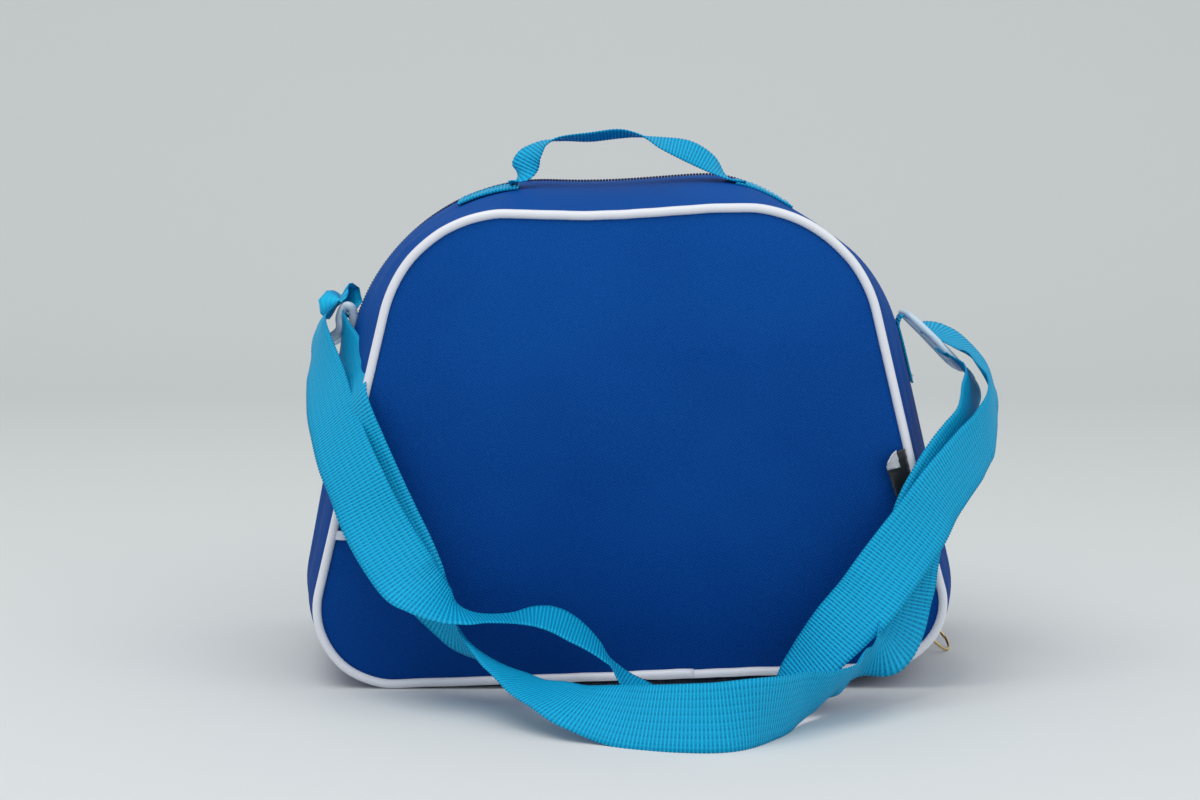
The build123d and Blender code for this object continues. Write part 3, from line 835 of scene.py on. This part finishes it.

# %% [markdown]
# ## Carry handle
# The handle is a narrower webbing. It is sewn down flat at both ends beside the zip and twists as it
# lifts off, so that its face turns to the side and back on its way over. Its sewn feet stay with the
# bag, and the rest is built in place and rides on no body.

# %% Handle
HANDLE_WIDTH = 20 * MM
HANDLE_THICK = 1.6 * MM
HANDLE_Y = -50 * MM
HANDLE_FREE = [
    ((-74, -50, 303.5), (0, -1, 0.15)),
    ((-70, -50, 305), (0.1, -1, 0.1)),
    ((-66.5, -50.5, 309), (0.6, -0.75, 0.1)),
    ((-64, -51, 315), (0.85, -0.5, -0.1)),
    ((-60, -51, 322), (0.7, -0.7, -0.1)),
    ((-53, -50, 328), (0.3, -0.95, -0.1)),
    ((-42, -50, 331), (0, -1, 0.1)),
    ((-24, -50, 332), (0, -0.97, 0.25)),
    ((-6, -50, 334), (0, -0.97, 0.25)),
    ((8, -50, 332.5), (0, -1, 0)),
    ((20, -50, 328.5), (-0.1, -0.9, -0.35)),
    ((36, -50, 323.5), (-0.3, -0.75, -0.6)),
    ((49, -50, 316.5), (-0.35, -0.8, -0.45)),
    ((59, -50, 308), (-0.1, -1, -0.1)),
    ((66, -50, 304.3), (0, -1, 0.1)),
    ((72, -50, 303.5), (0, -1, 0.15)),
]
handle, handle_length = band("handle_band", HANDLE_FREE, HANDLE_WIDTH, HANDLE_THICK, None)
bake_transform(handle)
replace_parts(handle, "handle_loop")

# %% [markdown]
# ## Sewn webbing
# Where webbing is sewn down it follows the gusset. `touch` finds the gusset at a given depth, either
# above a place along the crest or beside a height on its flank, and a patch is a grid laid on those
# points. Its stitches are short raised dashes of thread.

# %% Where the gusset is
DASH, DASH_GAP, DASH_ROWS = 2.0 * MM, 0.9 * MM, 5
THREAD_R = 0.28 * MM


def touch(y, lift, x=None, z=None, side=1):
    """The gusset's point at depth y, over x on the crest, or at height z on one flank."""
    line = [on_gusset(j, y, lift) for j in range(AROUND)]
    for a, b in zip(line, line[1:] + line[:1]):
        if x is not None and min(a.z, b.z) > 150 * MM and min(a.x, b.x) <= x <= max(a.x, b.x):
            return a.lerp(b, (x - a.x) / (b.x - a.x))
        on_flank = a.x * side > 0 and abs(b.z - a.z) > 1e-6
        if z is not None and on_flank and min(a.z, b.z) <= z <= max(a.z, b.z):
            return a.lerp(b, (z - a.z) / (b.z - a.z))
    raise ValueError("no such place on the gusset")


def patch(name, rows, thick):
    """A ribbed piece of webbing over rows of points, one row for each quarter of a rib."""
    points, lay = [], []
    count = len(rows[0])
    travelled = 0.0
    for i, row in enumerate(rows):
        travelled += (row[0] - rows[i - 1][0]).length if i else 0.0
        swell = 0.5 + 0.5 * math.cos(math.tau * travelled / RIB_PITCH)
        ahead = rows[min(i + 1, len(rows) - 1)][0] - rows[max(0, i - 1)][0]
        up = ahead.cross(row[-1] - row[0]).normalized()
        for k, p in enumerate(row):
            points.append(p + up * (swell * 0.25 * MM))
            lay.append(((k / (count - 1) - 0.5) * (row[-1] - row[0]).length, travelled))
    faces = grid_faces(len(rows), count)
    piece = thicken(new_piece(name, points, faces, CYAN, "bag", lay), thick)
    return piece


def stitches(name, path):
    """A row of thread dashes along a path, each a little arch."""
    points, faces = [], []
    for spot, along in even(path, DASH + DASH_GAP):
        across = along.orthogonal().normalized()
        up = along.cross(across)
        base = len(points)
        for k in range(DASH_ROWS):
            t = k / (DASH_ROWS - 1)
            centre = spot + along * (t * DASH)
            thin = THREAD_R * (0.35 + 0.65 * math.sin(math.pi * t))
            for q in range(6):
                turn = math.tau * q / 6
                points.append(centre + (across * math.cos(turn) + up * math.sin(turn)) * thin)
        for k in range(DASH_ROWS - 1):
            for q in range(6):
                a, b = base + k * 6 + q, base + k * 6 + (q + 1) % 6
                faces.append((a, b, b + 6, a + 6))
        faces.append(tuple(base + q for q in reversed(range(6))))
        faces.append(tuple(base + (DASH_ROWS - 1) * 6 + q for q in range(6)))
    return new_piece(name, points, faces, THREAD, "bag")


THREAD = plain("light_thread", rgb(86, 190, 226), 0.5, 0.2, 1500.0)
print(f"stitches: {(DASH + DASH_GAP) / MM:.1f} mm apart")

# %% [markdown]
# ## Sewn ends of the handle
# Each end is a short ribbed patch on the crest, held by two lines of stitches along it and two across
# it. The two lines start at opposite edges, as a sewing machine leaves them.

# %% Sewn ends of the handle
END_LIFT, STITCH_LIFT = 2.1 * MM, 2.5 * MM
STITCH_HALF = 7.5 * MM


def handle_end(word, side, inner, outer):
    """One sewn end, between two distances from the bag's middle."""
    length = outer - inner
    steps = int(length / (RIB_PITCH / QUARTERS))
    ys = [HANDLE_Y + (k / 3 - 1) * side * HANDLE_WIDTH / 2 for k in range(7)]
    rows = []
    for i in range(steps + 1):
        x = side * (outer - length * i / steps)
        rows.append([touch(y, END_LIFT, x=x) for y in ys])
    end = patch(f"handle_end_{word}_webbing", rows, 1.5 * MM)
    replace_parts(end, f"handle_end_{word}")
    for n, inset in enumerate((3.0, 9.0)):
        xs = [side * (outer - inset * MM - k / 20 * (length - 12 * MM)) for k in range(21)]
        y = HANDLE_Y + (STITCH_HALF if n == 0 else -STITCH_HALF)
        here, there = touch(y, STITCH_LIFT, x=xs[0]), touch(2 * HANDLE_Y - y, STITCH_LIFT, x=xs[0])
        stitches(f"handle_end_{word}_cross_stitch_{n}", [here.lerp(there, k / 8) for k in range(9)])
        stitches(f"handle_end_{word}_long_stitch_{n}", [touch(y, STITCH_LIFT, x=x) for x in xs])
    print(f"handle end, {word}: {length / MM:.0f} mm sewn down")


handle_end("left", -1, 68 * MM, 106 * MM)
handle_end("right", 1, 66 * MM, 101 * MM)

# %% [markdown]
# ## Side tabs
# A short webbing is folded round each plastic fitting and its two ends are sewn flat on the gusset's
# flank, so that only the outer layer and the fold are seen.

# %% Side tabs
TAB_WIDTH, TAB_FLAT = 25 * MM, 58 * MM
TAB_Y = -20 * MM
TAB_LOW, TAB_HIGH = 178 * MM, 214 * MM
FOLD_R, FOLD_REACH, FOLD_STEPS = 3.2, 2.5, 12


def side_tab(word, side):
    """side is -1 on the left and 1 on the right."""
    steps = int((TAB_HIGH - TAB_LOW) / (RIB_PITCH / QUARTERS))
    ys = [TAB_Y + (k / 3 - 1) * side * TAB_WIDTH / 2 for k in range(7)]
    rows = []
    for i in range(steps + 1):
        z = TAB_LOW + (TAB_HIGH - TAB_LOW) * i / steps
        rows.append([touch(y, 2.3 * MM, z=z, side=side) for y in ys])
    top = rows[-1]
    for k in range(1, FOLD_STEPS + 1):
        turn = math.radians(k * 12)
        outwards = FOLD_R * (1 - math.cos(turn)) * side
        upwards = FOLD_R * math.sin(turn) + FOLD_REACH * min(1, k / 5)
        rows.append([p + Vector((outwards, 0, upwards)) * MM for p in top])
    tab = patch(f"side_tab_{word}_webbing", rows, 1.4 * MM)
    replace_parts(tab, f"side_tab_{word}", f"tab_loop_{word}")
    line = [touch(y * MM, 2.8 * MM, z=TAB_LOW + 4 * MM, side=side) for y in range(-31, -8)]
    stitches(f"side_tab_{word}_stitch", line)
    print(f"side tab, {word}: {len(rows)} rows")


side_tab("left", -1)
side_tab("right", 1)

# %% [markdown]
# ## Plastic fittings
# Each fitting is one moulded loop of milky plastic: a short bar in the tab's fold, a longer bar in the
# strap's fold and two rails. A smooth closed line through its corners carries an oval section.

# %% Fittings


def moulded_loop(name, corners, wide, thin, node):
    """A closed moulded loop through a few corner points, with half its width and thickness in mm."""
    knots = [Vector(c) * MM for c in corners]
    count = len(knots)
    path = []
    for i in range(count):
        p0, p1, p2, p3 = (knots[(i + d) % count] for d in (-1, 0, 1, 2))
        for k in range(10):
            t = k / 10
            path.append(0.5 * (2 * p1 + (p2 - p0) * t + (2 * p0 - 5 * p1 + 4 * p2 - p3) * t * t
                               + (3 * p1 - p0 - 3 * p2 + p3) * t ** 3))
    hub = sum(path, Vector()) / len(path)
    points, sides = [], 14
    normal = (knots[0] - hub).cross(knots[1] - hub).normalized()
    for i, here in enumerate(path):
        along = (path[(i + 1) % len(path)] - path[i - 1]).normalized()
        out = along.cross(normal).normalized()
        up = out.cross(along)
        for q in range(sides):
            turn = math.tau * q / sides
            points.append(here + out * (math.cos(turn) * wide * MM) + up * (math.sin(turn) * thin * MM))
    faces = grid_faces(len(path), sides, closed=True)
    last = (len(path) - 1) * sides
    faces += [(last + q, last + (q + 1) % sides, (q + 1) % sides, q) for q in range(sides)]
    piece = new_piece(name, points, faces, MILKY, "shoulder_strap")
    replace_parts(piece, node)
    print(f"{name}: loop of {len(path)} sections")


moulded_loop("fitting_right", [
    (178.5, -38, 219), (176.5, -30, 220.5), (176.5, -10, 220.5), (178.5, -2, 219), (192, 3, 206),
    (206, 4, 191.5), (209.5, -4, 188), (209.5, -36, 188), (206, -44, 191.5), (192, -43, 206),
], 3.1, 2.4, "strap_fitting_right")
moulded_loop("fitting_left", [
    (-172.5, -41, 222), (-174, -42, 226.5), (-178, -41, 226.5), (-181, -40, 220), (-181.5, -39, 212),
    (-190, -23, 205), (-189, -18, 203), (-181, -30, 207), (-176, -38, 208.5), (-173, -40, 214),
], 2.9, 2.6, "strap_fitting_left")

# %% [markdown]
# ## Labels
# The care label is a folded satin tape caught in the right-hand seam. It stands off the panel, and its
# top corner has curled over, which shows the pale back of the weave. A small tag sits in the left seam.

# %% Labels
LABEL_LOW, LABEL_HIGH, LABEL_WIDTH = 106 * MM, 146 * MM, 14.5
TAG_LOW, TAG_HIGH, TAG_REACH = 91 * MM, 96.5 * MM, 7.5 * MM
SATIN_THICK, TAG_THICK = 0.35 * MM, 0.5 * MM


def seam_x(z, side):
    """Inner side of the piping at a height, in metres."""
    near = min((p for p, _ in piped if p.x * side > 0), key=lambda p: abs(p.y - z))
    return near.x - side * PIPING_R * 0.8


def care_label():
    """The tape, a little narrower at its foot, and the pale corner that curls over it."""
    rows = []
    for i in range(25):
        z = LABEL_LOW + (LABEL_HIGH - LABEL_LOW) * i / 24
        high = max(0.0, (i - 15) / 9)
        row = []
        for k in range(9):
            u = k / 8
            reach = u * (LABEL_WIDTH - 4 * (1 - i / 24)) * MM
            curl = high ** 2 * u ** 2
            x = seam_x(z, 1) - reach * (1 - 0.25 * curl)
            y = -SEAM_Y - (3.0 + 5.5 * math.sin(u * 1.5)) * MM - curl * 5 * MM
            row.append(Vector((x, y, z - curl * 6 * MM - u * 1.5 * MM)))
        rows.append(row)
    points = [p for row in rows for p in row]
    flat_label = new_piece("care_label_tape", points, grid_faces(25, 9), SATIN, "bag")
    label = thicken(flat_label, SATIN_THICK, 0.0)
    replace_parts(label, "care_label")
    tip = []
    for i in range(9):
        u = i / 8
        for k in range(7):
            v = k / 6
            p = rows[18 + int(v * 6)][3 + int(u * 5)]
            tip.append(p + Vector((-0.6, -0.9 - 3.2 * (u * v), 0.9 * v)) * MM)
    flat_curl = new_piece("care_label_curl", tip, grid_faces(9, 7), SATIN_BACK, "bag")
    thicken(flat_curl, SATIN_THICK, 0.0)
    print(f"care label: {(LABEL_HIGH - LABEL_LOW) / MM:.0f} mm high")


def seam_tag():
    """A short end of tape that comes out of the left seam."""
    points = []
    for i in range(7):
        z = TAG_LOW + (TAG_HIGH - TAG_LOW) * i / 6
        for k in range(6):
            u = k / 5
            stand = (2.2 + 2.4 * math.sin(u * 2.2)) * MM
            points.append(Vector((seam_x(z, -1) + u * TAG_REACH, -SEAM_Y - stand, z)))
    tag = thicken(new_piece("seam_tag_tape", points, grid_faces(7, 6), TAG, "bag"), TAG_THICK, 0.0)
    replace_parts(tag, "seam_tag")


care_label()
seam_tag()

# %% [markdown]
# ## Split ring
# The ring on the zip's slider is a spring wire. Its line is a helix of two turns, pressed close, that
# leans out from the slider and twists a little in its hole.

# %% Split ring
WIRE_R, RING_TURNS, TURN_STEPS, RING_TWIST = 0.7 * MM, 2.0, 72, 0.3


def split_ring():
    """The wire, centred on the ring's own box."""
    low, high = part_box("split_ring")
    centre = (low + high) / 2
    hold = Vector((low.x, 0, high.z)) + Vector((0.4, 0, -0.4)) * MM
    outwards = centre - hold
    outwards.y = 0
    outwards.normalize()
    mean_r = (high.y - low.y) / 2 - 0.55 * MM
    level = Vector((0, 1, 0))
    across = (level + outwards.cross(level) * RING_TWIST).normalized()
    normal = outwards.cross(across)
    path = []
    for i in range(int(RING_TURNS * TURN_STEPS) + 1):
        t = i / TURN_STEPS
        angle = math.tau * t + 0.9
        rise = (t / RING_TURNS - 0.5) * 1.1 * MM
        flat = outwards * math.cos(angle) + across * math.sin(angle)
        path.append(centre + flat * mean_r + normal * rise)
    ring = tube("split_ring_wire", path, WIRE_R, BRASS, "pull_ring", sides=10)
    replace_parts(ring, "split_ring")
    print(f"split ring: {2 * mean_r / MM:.1f} mm across the wire's middle")


split_ring()

# %% [markdown]
# ## Lining and board
# The lining and the board touch the cloth, so they have to settle with it. Each is rebuilt from the
# points of its own shape in the frame, moved by `settle`.

# %% Lining and board


def settled(node, finish, body):
    """A node's own surface, settled with the cloth. Without a body it is baked in place, like the front
    gusset.
    """
    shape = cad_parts[node]
    points = [settle(*(shape.matrix_world @ v.co)) for v in shape.data.vertices]
    faces = [tuple(f.vertices) for f in shape.data.polygons]
    piece = new_piece(f"{node}_settled", points, faces, finish, body)
    if body is None:
        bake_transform(piece)
    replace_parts(piece, node)


settled("back_lining", LINING, "bag")
settled("base_lining", LINING, "bag")
settled("front_lining", LINING, None)
settled("base_board", BOARD, "bag")
print("settled with the cloth: three linings and the board")

# %% [markdown]
# ## Finishes on the pieces that stay as they are
# The slider, the end stops and the foam ring keep the shapes that they have in the frame, because
# those are already true. They only need a finish.

# %% CAD pieces
KEPT = {"zip_slider": BRASS, "zip_end_stops": NAVY, "ball_ring": FOAM}
for node, finish in KEPT.items():
    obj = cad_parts[node]
    obj.data.materials.clear()
    obj.data.materials.append(finish.material)
print("finished as they are:", ", ".join(KEPT))

# %% [markdown]
# ## Camera
# A long lens stands a little above the bag's middle and looks slightly down at the back panel. A long
# lens from far away keeps the sides of the bag nearly parallel.

# %% Camera
camera_data = bpy.data.cameras.new("camera")
camera = bpy.data.objects.new("camera", camera_data)
bpy.context.scene.collection.objects.link(camera)
camera_data.sensor_width = 36
camera_data.lens = 65.7
camera.location = (-0.018, -1.412, 0.300)
camera.rotation_euler = Euler((math.radians(90 - 5.5), 0, 0))
bpy.context.scene.camera = camera
print(f"camera: {camera_data.lens:.1f} mm lens, {camera.location.length:.2f} m away")

# %% [markdown]
# ## Floor and backdrop
# One pale sheet of paper lies under the bag and curves up behind it, as such sheets do in a studio, so
# that no corner shows where the floor ends. It is only the stage, not a piece of the bag.

# %% Floor and backdrop
PAPER = plain("backdrop_paper", rgb(214, 217, 217), 0.8)
PAPER_NEAR, PAPER_BEND, PAPER_TOP, PAPER_HALF = -2.6, 1.8, 3.2, 3.0
BEND_R, BEND_STEPS, BEND_STEP = 1.0, 10, 0.157


def sweep():
    """A pale sheet that curves up behind the bag."""
    profile = [(PAPER_NEAR, 0.0), (PAPER_BEND, 0.0)]
    for k in range(1, BEND_STEPS + 1):
        turn = k * BEND_STEP
        profile.append((PAPER_BEND + BEND_R * math.sin(turn), BEND_R * (1 - math.cos(turn))))
    profile.append((PAPER_BEND + BEND_R, PAPER_TOP))
    points = [(x, y, z) for y, z in profile for x in (-PAPER_HALF, PAPER_HALF)]
    mesh = bpy.data.meshes.new("backdrop")
    mesh.from_pydata(points, [], grid_faces(len(profile), 2))
    mesh.polygons.foreach_set("use_smooth", [True] * len(mesh.polygons))
    sheet = bpy.data.objects.new("backdrop", mesh)
    bpy.context.scene.collection.objects.link(sheet)
    sheet.data.materials.append(PAPER.material)
    print(f"backdrop: {len(profile)} rows")


sweep()

# %% [markdown]
# ## Lamps
# A broad lamp from above and the left is the key, a weaker one from the right fills the shadows, and an
# even, nearly white world gives the rest. Broad lamps keep the shadow's edge soft.

# %% Lamps


def lamp(name, place, size, power, aim):
    """A square lamp at a place, turned to its aim."""
    data = bpy.data.lights.new(name, "AREA")
    data.size, data.energy = size, power
    obj = bpy.data.objects.new(name, data)
    obj.location = place
    obj.rotation_euler = (Vector(aim) - Vector(place)).to_track_quat("-Z", "Y").to_euler()
    bpy.context.scene.collection.objects.link(obj)


lamp("key_lamp", (-0.7, -0.9, 2.3), 1.5, 20, (0, 0, 0.1))
lamp("fill_lamp", (1.3, -1.5, 1.5), 1.6, 9, (0, 0, 0.1))
world = bpy.data.worlds.new("soft_room")
world.use_nodes = True
background = world.node_tree.nodes["Background"]
background.inputs["Color"].default_value = (0.93, 0.955, 0.97, 1)
background.inputs["Strength"].default_value = 0.78
bpy.context.scene.world = world
bpy.context.scene.view_settings.view_transform = "Standard"
print("lamps:", len(bpy.data.lights))
